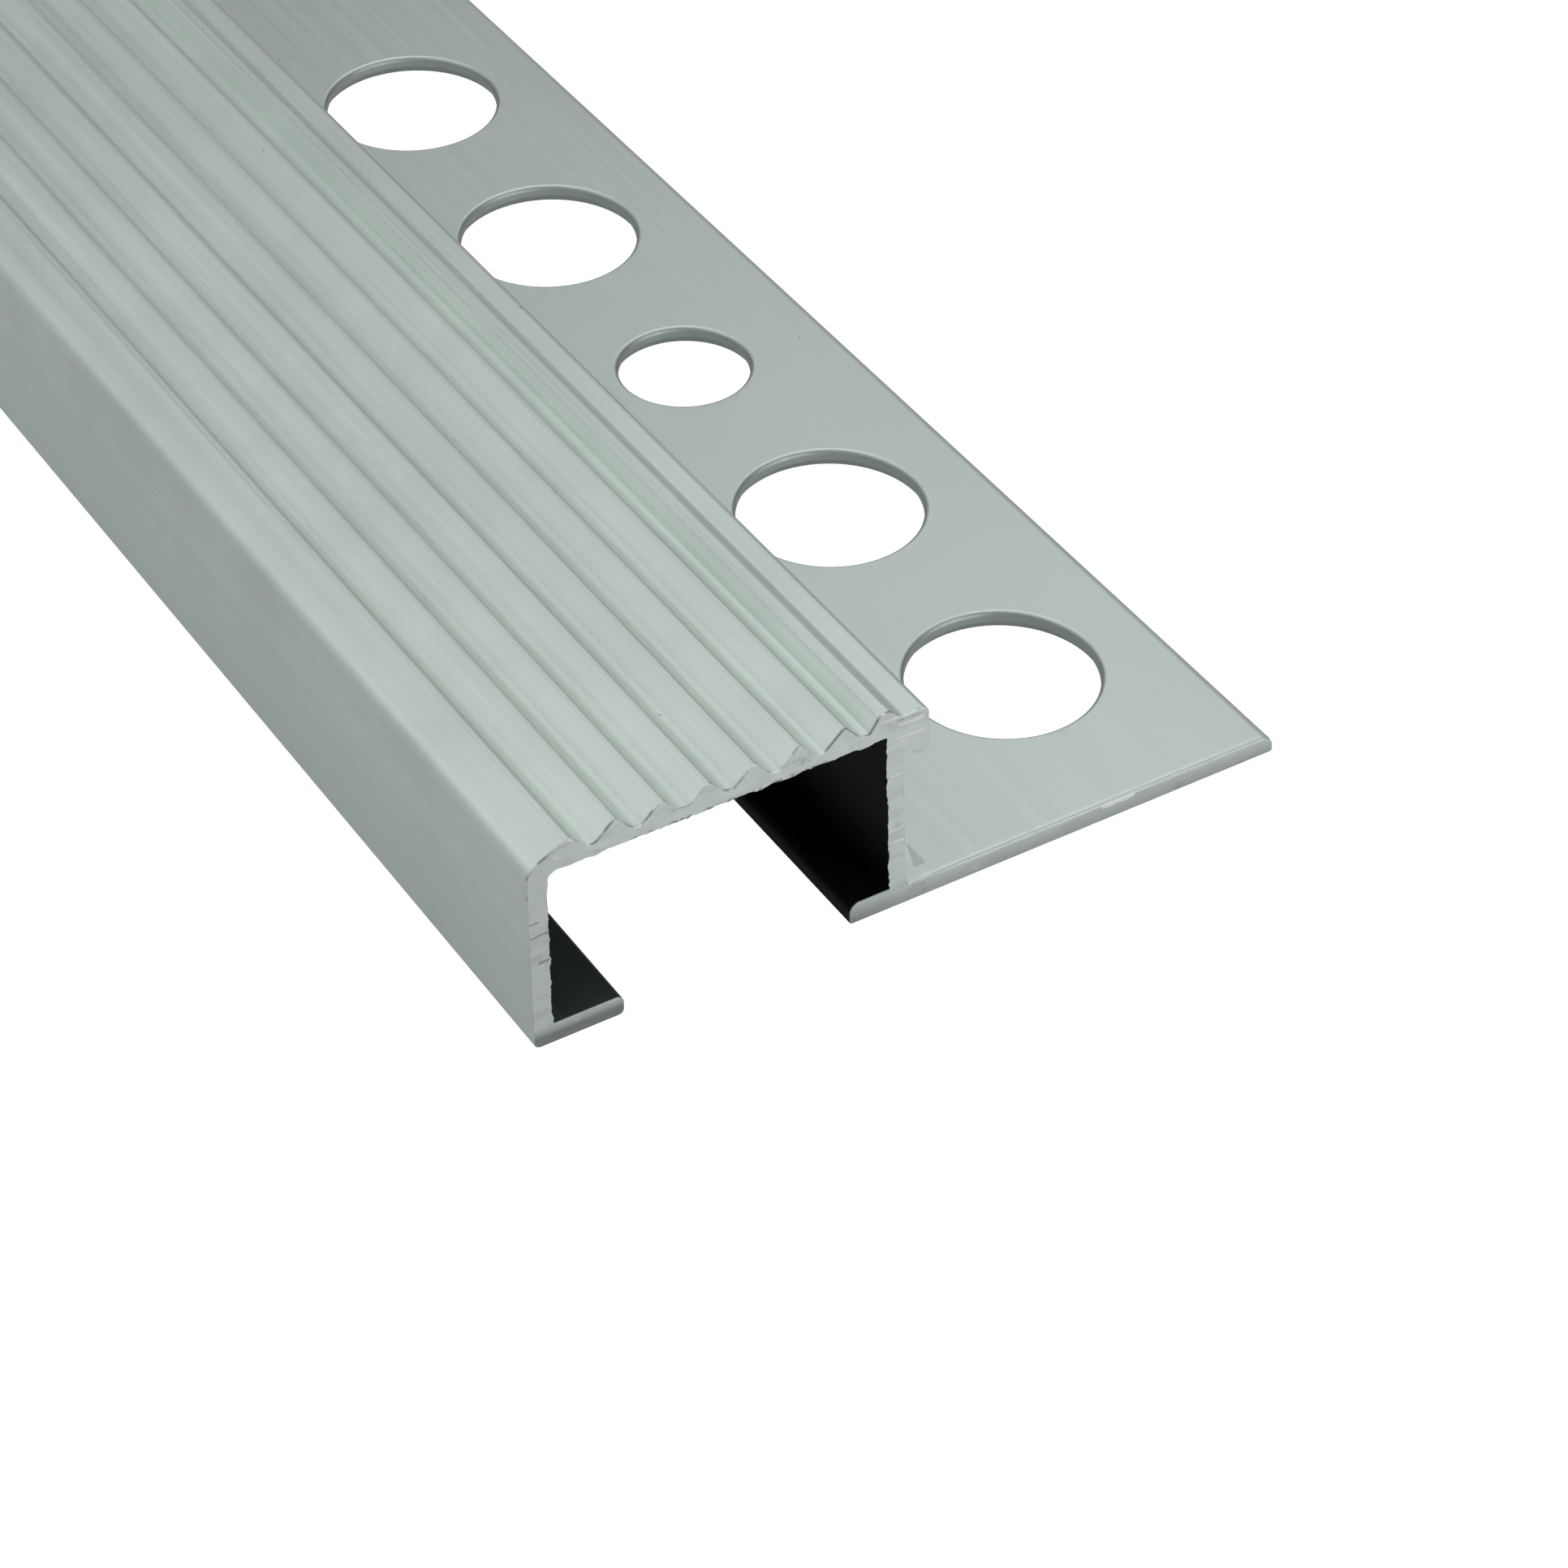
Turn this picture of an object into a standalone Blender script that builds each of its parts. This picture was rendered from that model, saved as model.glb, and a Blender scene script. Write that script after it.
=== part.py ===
"""Ribbed aluminium stair-nosing profile with a punched anchoring leg.

One extrusion, sawn to length: a ribbed tread plate, a rounded nose, a front wall with an inward
lip, a web under the plate's thickened back edge, and a leg that tile adhesive holds through a row
of punched holes. X runs across the profile from the front wall to the leg's free edge, Y runs along
it and Z is up. The origin is the centre of the bounding box's base.

Sizes are in metres. Every section size below is measured from the outside of the front wall (x)
and from the underside of the leg (z).
"""

import math

import bmesh
import bpy
from mathutils import Matrix, Vector

MM = 0.001

# The whole section
PROFILE_WIDTH = 43.0 * MM
TREAD_DEPTH = 22.0 * MM
PLATE_UNDERSIDE_Z = 10.95 * MM

# Ribs: each rises from a groove's sharp corner, turns over a round crest and runs out in a soft foot
RIB_PITCH = 2.5 * MM
GROOVE_COUNT = 7
FIRST_GROOVE_X = 3.66 * MM
GROOVE_Z = 11.58 * MM
GROOVE_RADIUS = 0.03 * MM
RIB_CREST_X = 1.12 * MM
RIB_CREST_RISE = 1.04 * MM
RIB_CREST_RADIUS = 0.28 * MM
RIB_FOOT_X = 2.04 * MM
RIB_FOOT_RADIUS = 0.6 * MM

# Nose: the front wall turns into a ramp up to the first crest
NOSE_Z = 11.35 * MM
NOSE_RADIUS = 1.0 * MM
NOSE_CREST_X = 2.36 * MM
NOSE_CREST_Z = 12.53 * MM
NOSE_CREST_RADIUS = 0.5 * MM

# Last rib and the thickened back edge behind it
LAST_RIB_Z = 12.5 * MM
LAST_RIB_FRONT_X = 19.26 * MM
LAST_RIB_BACK_X = 19.82 * MM
LAST_RIB_FRONT_RADIUS = 0.28 * MM
LAST_RIB_BACK_RADIUS = 0.35 * MM
BACK_HOLLOW_X = 20.42 * MM
BACK_HOLLOW_Z = 11.93 * MM
BACK_HOLLOW_RADIUS = 0.45 * MM
BACK_EDGE_Z = 12.03 * MM
BACK_EDGE_RADIUS = 0.45 * MM
BACK_DROP_Z = 9.25 * MM
BACK_DROP_X = 21.4 * MM
BACK_DROP_RADIUS = 0.27 * MM
BACK_SEAT_Z = 9.56 * MM
BACK_SEAT_X = 21.0 * MM
BACK_SEAT_RADIUS = 0.2 * MM

# Web: it leans back a little towards its foot
WEB_TOP_FRONT_X = 19.6 * MM
WEB_TOP_BACK_X = 20.58 * MM
WEB_FOOT_FRONT_X = 19.9 * MM
WEB_FOOT_BACK_X = 20.84 * MM
WEB_CORNER_RADIUS = 0.08 * MM
WEB_FOOT_RADIUS = 0.25 * MM

# Leg, and the toe that reaches under the channel
LEG_THICKNESS = 1.1 * MM
LEG_TOP_RADIUS = 0.7 * MM
LEG_BOTTOM_RADIUS = 0.15 * MM
TOE_X = 17.58 * MM
TOE_THICKNESS = 1.28 * MM
TOE_TOP_RADIUS = 0.6 * MM
TOE_BOTTOM_RADIUS = 0.25 * MM

# Front wall and its inward lip
WALL_THICKNESS = 1.03 * MM
WALL_INNER_RADIUS = 0.45 * MM
LIP_LENGTH = 4.93 * MM
LIP_UNDERSIDE_Z = 0.32 * MM
LIP_TOP_Z = 1.5 * MM
LIP_CORNER_RADIUS = 0.15 * MM
LIP_TIP_TOP_RADIUS = 0.45 * MM
LIP_TIP_BOTTOM_RADIUS = 0.3 * MM
LIP_OUTER_RADIUS = 0.4 * MM

# Punched holes along the leg, in groups of five: two large, one small, two large. Inside a group
# the bridges of metal between holes are equal, and between groups the bridge is wider
HOLE_LINE_X = 34.0 * MM
LARGE_HOLE_RADIUS = 5.1 * MM
SMALL_HOLE_RADIUS = 3.7 * MM
HOLE_BRIDGE = 6.6 * MM
GROUP_BRIDGE = 10.0 * MM
GROUP_COUNT = 5
END_MARGIN = 11.3 * MM
HOLE_SIDES = 32
PUNCH_OVERRUN = 1.0 * MM

ARC_STEP = math.radians(15)
WELD_DISTANCE = 0.0001 * MM

ALUMINIUM_COLOUR = (0.47, 0.53, 0.5, 1.0)
ALUMINIUM_ROUGHNESS = 0.42


def hole_layout():
    """Distances of the holes from the near end, with their radii, and the profile's length."""
    pair = [LARGE_HOLE_RADIUS, LARGE_HOLE_RADIUS]
    group = pair + [SMALL_HOLE_RADIUS] + pair
    radii = group * GROUP_COUNT
    holes = []
    place = END_MARGIN
    for index, radius in enumerate(radii):
        if index:
            bridge = HOLE_BRIDGE if index % len(group) else GROUP_BRIDGE
            place += radii[index - 1] + bridge + radius
        holes.append((place, radius))
    return holes, place + END_MARGIN


def rib_corners():
    """Corners of the tread's upper side, from the nose to the back edge: x, z and radius."""
    foot_to_groove = RIB_PITCH - RIB_FOOT_X
    corners = [
        (0.0, NOSE_Z, NOSE_RADIUS),
        (NOSE_CREST_X, NOSE_CREST_Z, NOSE_CREST_RADIUS),
        (FIRST_GROOVE_X - foot_to_groove, GROOVE_Z, RIB_FOOT_RADIUS),
    ]
    for index in range(GROOVE_COUNT):
        groove_x = FIRST_GROOVE_X + index * RIB_PITCH
        corners.append((groove_x, GROOVE_Z, GROOVE_RADIUS))
        if index == GROOVE_COUNT - 1:
            break
        corners.append((groove_x + RIB_CREST_X, GROOVE_Z + RIB_CREST_RISE, RIB_CREST_RADIUS))
        corners.append((groove_x + RIB_FOOT_X, GROOVE_Z, RIB_FOOT_RADIUS))
    return corners


def back_edge_corners():
    """Corners of the last rib and the thickened back edge, down to the web."""
    return [
        (LAST_RIB_FRONT_X, LAST_RIB_Z, LAST_RIB_FRONT_RADIUS),
        (LAST_RIB_BACK_X, LAST_RIB_Z, LAST_RIB_BACK_RADIUS),
        (BACK_HOLLOW_X, BACK_HOLLOW_Z, BACK_HOLLOW_RADIUS),
        (TREAD_DEPTH, BACK_EDGE_Z, BACK_EDGE_RADIUS),
        (TREAD_DEPTH, BACK_DROP_Z, BACK_DROP_RADIUS),
        (BACK_DROP_X, BACK_DROP_Z, BACK_DROP_RADIUS),
        (BACK_SEAT_X, BACK_SEAT_Z, BACK_SEAT_RADIUS),
        (WEB_TOP_BACK_X, BACK_SEAT_Z, WEB_CORNER_RADIUS),
    ]


def leg_corners():
    """Corners from the web's back foot, round the leg and its toe, up to the plate's underside."""
    return [
        (WEB_FOOT_BACK_X, LEG_THICKNESS, WEB_FOOT_RADIUS),
        (PROFILE_WIDTH, LEG_THICKNESS, LEG_TOP_RADIUS),
        (PROFILE_WIDTH, 0.0, LEG_BOTTOM_RADIUS),
        (TOE_X, 0.0, TOE_BOTTOM_RADIUS),
        (TOE_X, TOE_THICKNESS, TOE_TOP_RADIUS),
        (WEB_FOOT_FRONT_X, TOE_THICKNESS, WEB_CORNER_RADIUS),
        (WEB_TOP_FRONT_X, PLATE_UNDERSIDE_Z, WEB_CORNER_RADIUS),
    ]


def front_wall_corners():
    """Corners from the plate's underside down the front wall and round the lip."""
    return [
        (WALL_THICKNESS, PLATE_UNDERSIDE_Z, WALL_INNER_RADIUS),
        (WALL_THICKNESS, LIP_TOP_Z, LIP_CORNER_RADIUS),
        (LIP_LENGTH, LIP_TOP_Z, LIP_TIP_TOP_RADIUS),
        (LIP_LENGTH, LIP_UNDERSIDE_Z, LIP_TIP_BOTTOM_RADIUS),
        (0.0, LIP_UNDERSIDE_Z, LIP_OUTER_RADIUS),
    ]


def rounded_corner(previous, corner, following):
    """Points of the arc that rounds one corner of the outline."""
    here = Vector(corner[:2])
    to_previous = (Vector(previous[:2]) - here).normalized()
    to_following = (Vector(following[:2]) - here).normalized()
    radius = corner[2]
    half_angle = to_previous.angle(to_following) / 2
    setback = radius / math.tan(half_angle)
    centre = here + (to_previous + to_following).normalized() * (radius / math.sin(half_angle))
    start = here + to_previous * setback - centre
    finish = here + to_following * setback - centre
    start_angle = math.atan2(start.y, start.x)
    turn = math.atan2(finish.y, finish.x) - start_angle
    turn = (turn + math.pi) % (2 * math.pi) - math.pi
    steps = max(1, math.ceil(abs(turn) / ARC_STEP))
    points = []
    for step in range(steps + 1):
        angle = start_angle + turn * step / steps
        points.append((centre.x + radius * math.cos(angle), centre.y + radius * math.sin(angle)))
    return points


def section_outline():
    """The closed outline of the extrusion, centred across its width."""
    corners = rib_corners() + back_edge_corners() + leg_corners() + front_wall_corners()
    outline = []
    for index, corner in enumerate(corners):
        following = corners[(index + 1) % len(corners)]
        outline += rounded_corner(corners[index - 1], corner, following)
    return [(x - PROFILE_WIDTH / 2, z) for x, z in outline]


def extrude_outline(name, outline, length):
    """A closed mesh object: the outline stands in the XZ plane and runs along Y."""
    curve = bpy.data.curves.new(name + "_outline", "CURVE")
    curve.dimensions = "2D"
    curve.fill_mode = "BOTH"
    curve.extrude = length / 2
    spline = curve.splines.new("POLY")
    spline.points.add(len(outline) - 1)
    for point, (x, z) in zip(spline.points, outline):
        point.co = (x, z, 0.0, 1.0)
    spline.use_cyclic_u = True
    guide = bpy.data.objects.new(name + "_outline", curve)
    guide.matrix_world = Matrix.Rotation(math.radians(90), 4, "X")
    bpy.context.scene.collection.objects.link(guide)
    bpy.context.view_layer.update()

    evaluated = guide.evaluated_get(bpy.context.evaluated_depsgraph_get())
    mesh = bpy.data.meshes.new_from_object(evaluated)
    mesh.name = name
    body = bmesh.new()
    body.from_mesh(mesh)
    bmesh.ops.remove_doubles(body, verts=body.verts, dist=WELD_DISTANCE)
    bmesh.ops.recalc_face_normals(body, faces=body.faces)
    body.to_mesh(mesh)
    body.free()
    solid = bpy.data.objects.new(name, mesh)
    solid.matrix_world = guide.matrix_world.copy()
    bpy.data.objects.remove(guide)
    bpy.data.curves.remove(curve)
    return solid


def punch_tool(holes, length):
    """One mesh of upright cylinders, a cylinder for each hole."""
    depth = LEG_THICKNESS + 2 * PUNCH_OVERRUN
    tool = bmesh.new()
    for place, radius in holes:
        centre = Vector((HOLE_LINE_X - PROFILE_WIDTH / 2, place - length / 2, LEG_THICKNESS / 2))
        bmesh.ops.create_cone(
            tool,
            cap_ends=True,
            segments=HOLE_SIDES,
            radius1=radius,
            radius2=radius,
            depth=depth,
            matrix=Matrix.Translation(centre),
        )
    mesh = bpy.data.meshes.new("hole_punch")
    tool.to_mesh(mesh)
    tool.free()
    return bpy.data.objects.new("hole_punch", mesh)


def aluminium():
    """Satin natural aluminium."""
    material = bpy.data.materials.new("satin_aluminium")
    material.use_nodes = True
    shader = material.node_tree.nodes["Principled BSDF"]
    shader.inputs["Base Color"].default_value = ALUMINIUM_COLOUR
    shader.inputs["Metallic"].default_value = 1.0
    shader.inputs["Roughness"].default_value = ALUMINIUM_ROUGHNESS
    return material


def new_collection(name):
    """A collection linked to the scene."""
    collection = bpy.data.collections.new(name)
    bpy.context.scene.collection.children.link(collection)
    return collection


def build_profile():
    """The whole extrusion with its punched holes."""
    parts = new_collection("stair_nosing_profile")
    cutters = new_collection("cutters")
    holes, length = hole_layout()

    profile = extrude_outline("nosing_profile", section_outline(), length)
    profile.data.materials.append(aluminium())
    parts.objects.link(profile)

    punch = punch_tool(holes, length)
    punch.hide_render = True
    punch.display_type = "WIRE"
    cutters.objects.link(punch)

    cut = profile.modifiers.new("punched_holes", "BOOLEAN")
    cut.operation = "DIFFERENCE"
    cut.solver = "EXACT"
    cut.object = punch


for leftover in list(bpy.data.objects):
    bpy.data.objects.remove(leftover)
build_profile()
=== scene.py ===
"""Looks of the ribbed stair-nosing profile: a fine mesh of the extrusion with its sawn ends and
punched holes, a satin aluminium material, and a plain studio with the camera above the near end.

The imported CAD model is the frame: it gives the width, height and length. Sizes are in millimetres,
x from the outside of the front wall, y from the near end and z from the underside of the leg. The
mesh turns them into metres and the material turns metres back into them. The studio is in metres.
"""

import math

import bmesh
import bpy
from mathutils import Matrix, Vector, noise


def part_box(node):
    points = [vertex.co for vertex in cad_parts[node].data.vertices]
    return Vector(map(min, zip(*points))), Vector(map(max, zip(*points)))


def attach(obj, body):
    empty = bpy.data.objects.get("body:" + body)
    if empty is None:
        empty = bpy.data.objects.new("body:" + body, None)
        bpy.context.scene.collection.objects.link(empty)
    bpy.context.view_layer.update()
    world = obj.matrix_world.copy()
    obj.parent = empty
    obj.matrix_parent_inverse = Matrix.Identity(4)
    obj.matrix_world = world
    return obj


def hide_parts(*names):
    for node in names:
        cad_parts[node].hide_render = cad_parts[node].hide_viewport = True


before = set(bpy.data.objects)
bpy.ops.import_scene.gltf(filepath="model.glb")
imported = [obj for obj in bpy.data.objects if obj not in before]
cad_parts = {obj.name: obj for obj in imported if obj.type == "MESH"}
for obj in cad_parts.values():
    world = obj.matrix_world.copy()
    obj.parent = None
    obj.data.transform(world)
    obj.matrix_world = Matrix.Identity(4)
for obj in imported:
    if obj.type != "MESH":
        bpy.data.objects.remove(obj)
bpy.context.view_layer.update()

NODE = "nosing_profile"
MM = 0.001

low_corner, high_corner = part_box(NODE)
WIDTH = (high_corner.x - low_corner.x) / MM
LENGTH = (high_corner.y - low_corner.y) / MM

# The whole section, as the CAD model has it
TREAD_DEPTH = 22.0
PLATE_UNDERSIDE_Z = 10.95

# Ribs: each rises from a groove's sharp corner, turns over a round crest and runs out in a soft foot
RIB_PITCH = 2.5
GROOVE_COUNT = 7
FIRST_GROOVE_X = 3.66
GROOVE_Z = 11.58
GROOVE_RADIUS = 0.03
RIB_CREST_X = 1.12
RIB_CREST_RISE = 1.04
RIB_CREST_RADIUS = 0.28
RIB_FOOT_X = 2.04
RIB_FOOT_RADIUS = 0.6

# Nose: the front wall turns into a ramp up to the first crest
NOSE_Z = 11.35
NOSE_RADIUS = 1.0
NOSE_CREST_X = 2.36
NOSE_CREST_Z = 12.53
NOSE_CREST_RADIUS = 0.5

# Last rib and the thickened back edge behind it
LAST_RIB_Z = 12.5
LAST_RIB_FRONT_X = 19.26
LAST_RIB_BACK_X = 19.82
LAST_RIB_FRONT_RADIUS = 0.28
LAST_RIB_BACK_RADIUS = 0.35
BACK_HOLLOW_X = 20.42
BACK_HOLLOW_Z = 11.93
BACK_HOLLOW_RADIUS = 0.45
BACK_EDGE_Z = 12.03
BACK_EDGE_RADIUS = 0.45
BACK_DROP_Z = 9.25
BACK_DROP_X = 21.4
BACK_DROP_RADIUS = 0.27
BACK_SEAT_Z = 9.56
BACK_SEAT_X = 21.0
BACK_SEAT_RADIUS = 0.2

# Web: it leans back a little towards its foot
WEB_TOP_FRONT_X = 19.6
WEB_TOP_BACK_X = 20.58
WEB_FOOT_FRONT_X = 19.9
WEB_FOOT_BACK_X = 20.84
WEB_CORNER_RADIUS = 0.08
WEB_FOOT_RADIUS = 0.25

# Leg, and the toe that reaches under the channel
LEG_THICKNESS = 1.1
LEG_TOP_RADIUS = 0.7
LEG_BOTTOM_RADIUS = 0.15
TOE_X = 17.58
TOE_THICKNESS = 1.28
TOE_TOP_RADIUS = 0.6
TOE_BOTTOM_RADIUS = 0.25

# Front wall and its inward lip
WALL_THICKNESS = 1.03
WALL_INNER_RADIUS = 0.45
LIP_LENGTH = 4.93
LIP_UNDERSIDE_Z = 0.32
LIP_TOP_Z = 1.5
LIP_CORNER_RADIUS = 0.15
LIP_TIP_TOP_RADIUS = 0.45
LIP_TIP_BOTTOM_RADIUS = 0.3
LIP_OUTER_RADIUS = 0.4

# Punched holes, in groups of five with wider bridges of metal between the groups
HOLE_LINE_X = 34.0
LARGE_HOLE_RADIUS = 5.1
SMALL_HOLE_RADIUS = 3.7
HOLE_BRIDGE = 6.6
GROUP_BRIDGE = 10.0
END_MARGIN = 11.3

# The punch: it rolls the hole's upper rim in and breaks out wider below. The lift keeps the roll's
# last ring clear of the leg's top face for the Boolean
PUNCH_ROLLOVER = 0.3
PUNCH_BREAKOUT = 0.3
PUNCH_BREAKOUT_TOP_Z = 0.5
PUNCH_BOTTOM_Z = -0.8
PUNCH_OVERRUN = 0.6
PUNCH_LIFT = 0.004
PUNCH_ARC_STEPS = 8
HOLE_SIDES = 72

# Mesh fineness
ARC_STEP = math.radians(7)
CHANNEL_STEP = 0.15
OUTER_STEP = 1.0
END_STATIONS = (0.0, 0.03, 0.08, 0.15, 0.25, 0.38, 0.55, 0.75, 0.95, 1.4, 2.5, 5.0, 10.0)
MIDDLE_STATIONS = 14
SHARP_ANGLE = math.radians(28)
SURFACE_TOLERANCE = 0.05

# Sawn ends: a broken edge, a ragged burr inside the channel, and a roll on the leg's top edge
EDGE_BREAK = 0.04
BURR_HEIGHT = 0.05
BURR_WAVE = 0.11
BURR_WAVELENGTH = 0.75
BURR_RIPPLES = 3
BURR_RIPPLE_SHARE = 0.8
BURR_REACH = 0.16
NEAR_BURR_SEED = 0.0
FAR_BURR_SEED = 7.0
LEG_ROLLOVER = 0.22
ROLLOVER_START_X = 21.2
ROLLOVER_FULL_X = 22.8


# ---------------------------------------------------------------- section outline

def rib_corners():
    """Corners of the tread's upper side, from the nose to the back edge: x, z and radius."""
    foot_to_groove = RIB_PITCH - RIB_FOOT_X
    corners = [
        (0.0, NOSE_Z, NOSE_RADIUS),
        (NOSE_CREST_X, NOSE_CREST_Z, NOSE_CREST_RADIUS),
        (FIRST_GROOVE_X - foot_to_groove, GROOVE_Z, RIB_FOOT_RADIUS),
    ]
    for index in range(GROOVE_COUNT):
        groove_x = FIRST_GROOVE_X + index * RIB_PITCH
        corners.append((groove_x, GROOVE_Z, GROOVE_RADIUS))
        if index == GROOVE_COUNT - 1:
            break
        corners.append((groove_x + RIB_CREST_X, GROOVE_Z + RIB_CREST_RISE, RIB_CREST_RADIUS))
        corners.append((groove_x + RIB_FOOT_X, GROOVE_Z, RIB_FOOT_RADIUS))
    return corners


def back_edge_corners():
    """Corners of the last rib and the thickened back edge, down to the web."""
    return [
        (LAST_RIB_FRONT_X, LAST_RIB_Z, LAST_RIB_FRONT_RADIUS),
        (LAST_RIB_BACK_X, LAST_RIB_Z, LAST_RIB_BACK_RADIUS),
        (BACK_HOLLOW_X, BACK_HOLLOW_Z, BACK_HOLLOW_RADIUS),
        (TREAD_DEPTH, BACK_EDGE_Z, BACK_EDGE_RADIUS),
        (TREAD_DEPTH, BACK_DROP_Z, BACK_DROP_RADIUS),
        (BACK_DROP_X, BACK_DROP_Z, BACK_DROP_RADIUS),
        (BACK_SEAT_X, BACK_SEAT_Z, BACK_SEAT_RADIUS),
        (WEB_TOP_BACK_X, BACK_SEAT_Z, WEB_CORNER_RADIUS),
    ]


def leg_corners():
    """Corners from the web's back foot, round the leg and its toe, up to the plate's underside."""
    return [
        (WEB_FOOT_BACK_X, LEG_THICKNESS, WEB_FOOT_RADIUS),
        (WIDTH, LEG_THICKNESS, LEG_TOP_RADIUS),
        (WIDTH, 0.0, LEG_BOTTOM_RADIUS),
        (TOE_X, 0.0, TOE_BOTTOM_RADIUS),
        (TOE_X, TOE_THICKNESS, TOE_TOP_RADIUS),
        (WEB_FOOT_FRONT_X, TOE_THICKNESS, WEB_CORNER_RADIUS),
        (WEB_TOP_FRONT_X, PLATE_UNDERSIDE_Z, WEB_CORNER_RADIUS),
    ]


def front_wall_corners():
    """Corners from the plate's underside down the front wall and round the lip."""
    return [
        (WALL_THICKNESS, PLATE_UNDERSIDE_Z, WALL_INNER_RADIUS),
        (WALL_THICKNESS, LIP_TOP_Z, LIP_CORNER_RADIUS),
        (LIP_LENGTH, LIP_TOP_Z, LIP_TIP_TOP_RADIUS),
        (LIP_LENGTH, LIP_UNDERSIDE_Z, LIP_TIP_BOTTOM_RADIUS),
        (0.0, LIP_UNDERSIDE_Z, LIP_OUTER_RADIUS),
    ]


def rounded_corner(previous, corner, following):
    """Points of the arc that rounds one corner of the outline."""
    here = Vector(corner[:2])
    to_previous = (Vector(previous[:2]) - here).normalized()
    to_following = (Vector(following[:2]) - here).normalized()
    radius = corner[2]
    half_angle = to_previous.angle(to_following) / 2
    setback = radius / math.tan(half_angle)
    centre = here + (to_previous + to_following).normalized() * (radius / math.sin(half_angle))
    start = here + to_previous * setback - centre
    finish = here + to_following * setback - centre
    start_angle = math.atan2(start.y, start.x)
    turn = math.atan2(finish.y, finish.x) - start_angle
    turn = (turn + math.pi) % (2 * math.pi) - math.pi
    steps = max(2, math.ceil(abs(turn) / ARC_STEP))
    points = []
    for step in range(steps + 1):
        angle = start_angle + turn * step / steps
        points.append(centre + radius * Vector((math.cos(angle), math.sin(angle))))
    return points


def faces_channel(point):
    """True on the walls of the open channel under the tread plate."""
    low_x = WALL_THICKNESS - SURFACE_TOLERANCE
    high_x = WEB_FOOT_FRONT_X + SURFACE_TOLERANCE
    return low_x < point.x < high_x and LIP_TOP_Z < point.y < PLATE_UNDERSIDE_Z + SURFACE_TOLERANCE


def section_outline():
    """The outline with its straight runs divided, more finely inside the channel."""
    corners = rib_corners() + back_edge_corners() + leg_corners() + front_wall_corners()
    bends = []
    for index, corner in enumerate(corners):
        following = corners[(index + 1) % len(corners)]
        bends += rounded_corner(corners[index - 1], corner, following)
    outline = []
    for index, point in enumerate(bends):
        following = bends[(index + 1) % len(bends)]
        run = following - point
        middle = point + run / 2
        step = CHANNEL_STEP if faces_channel(middle) else OUTER_STEP
        pieces = max(1, math.ceil(run.length / step))
        for piece in range(pieces):
            outline.append(point + run * piece / pieces)
    return outline


def outward_normals(outline):
    """A unit normal at each point, pointing out of the metal. The outline runs clockwise."""
    normals = []
    for index in range(len(outline)):
        along = outline[(index + 1) % len(outline)] - outline[index - 1]
        normals.append(Vector((-along.y, along.x)).normalized())
    return normals


# ---------------------------------------------------------------- the extrusion's mesh

def smooth_step(value, start, finish):
    """0 before start, 1 after finish, and a smooth rise between."""
    share = min(1.0, max(0.0, (value - start) / (finish - start)))
    return share * share * (3 - 2 * share)


def burr(point, distance, seed):
    """Height of the ragged saw burr on the channel's edges, at a distance from the cut."""
    if not faces_channel(point):
        return 0.0
    place = Vector((point.x / BURR_WAVELENGTH, point.y / BURR_WAVELENGTH, seed))
    wave = noise.noise(place) + BURR_RIPPLE_SHARE * noise.noise(place * BURR_RIPPLES)
    height = max(0.0, BURR_HEIGHT + BURR_WAVE * wave)
    return height * math.exp(-distance / BURR_REACH)


def leg_drop(point, distance):
    """How far the leg's top is rolled down where the cut pressed its edge."""
    if point.y > LEG_THICKNESS + SURFACE_TOLERANCE or distance >= LEG_ROLLOVER:
        return 0.0
    fall = LEG_ROLLOVER - math.sqrt(LEG_ROLLOVER ** 2 - (LEG_ROLLOVER - distance) ** 2)
    share = smooth_step(point.x, ROLLOVER_START_X, ROLLOVER_FULL_X)
    return fall * share * point.y / LEG_THICKNESS


def ring_points(outline, normals, distance, seed):
    """The outline as it is at a distance from the nearest end."""
    edge_break = EDGE_BREAK * max(0.0, 1 - distance / END_STATIONS[1])
    points = []
    for point, normal in zip(outline, normals):
        moved = point + normal * (burr(point, distance, seed) - edge_break)
        moved.y -= leg_drop(point, distance)
        points.append(moved)
    return points


def stations():
    """Distances from the near end at which the mesh has a ring."""
    last = END_STATIONS[-1]
    gap = (LENGTH - 2 * last) / MIDDLE_STATIONS
    middle = [last + gap * index for index in range(1, MIDDLE_STATIONS)]
    return list(END_STATIONS) + middle + [LENGTH - d for d in reversed(END_STATIONS)]


def row_frame(x, y, z):
    """A point in metres in the model's own frame."""
    return Vector((low_corner.x + x * MM, low_corner.y + y * MM, low_corner.z + z * MM))


def skin(body, rings):
    """Faces that join each ring to the next, and one that closes each end."""
    for ring, following in zip(rings, rings[1:]):
        for index in range(len(ring)):
            after = (index + 1) % len(ring)
            body.faces.new((ring[index], following[index], following[after], ring[after]))
    body.faces.new(rings[0])
    body.faces.new(list(reversed(rings[-1])))


def finished_mesh(name, body):
    """A mesh from the built body, with its faces turned outward."""
    bmesh.ops.recalc_face_normals(body, faces=body.faces)
    mesh = bpy.data.meshes.new(name)
    body.to_mesh(mesh)
    body.free()
    return mesh


def extrusion_mesh():
    """Rings of the outline along the length, closed by a face at each end."""
    outline = section_outline()
    normals = outward_normals(outline)
    body = bmesh.new()
    rings = []
    for station in stations():
        from_end = min(station, LENGTH - station)
        seed = NEAR_BURR_SEED if station < LENGTH / 2 else FAR_BURR_SEED
        ring = ring_points(outline, normals, from_end, seed)
        rings.append([body.verts.new(row_frame(p.x, station, p.y)) for p in ring])
    skin(body, rings)
    return finished_mesh("profile_surface", body)


# ---------------------------------------------------------------- punched holes

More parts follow.
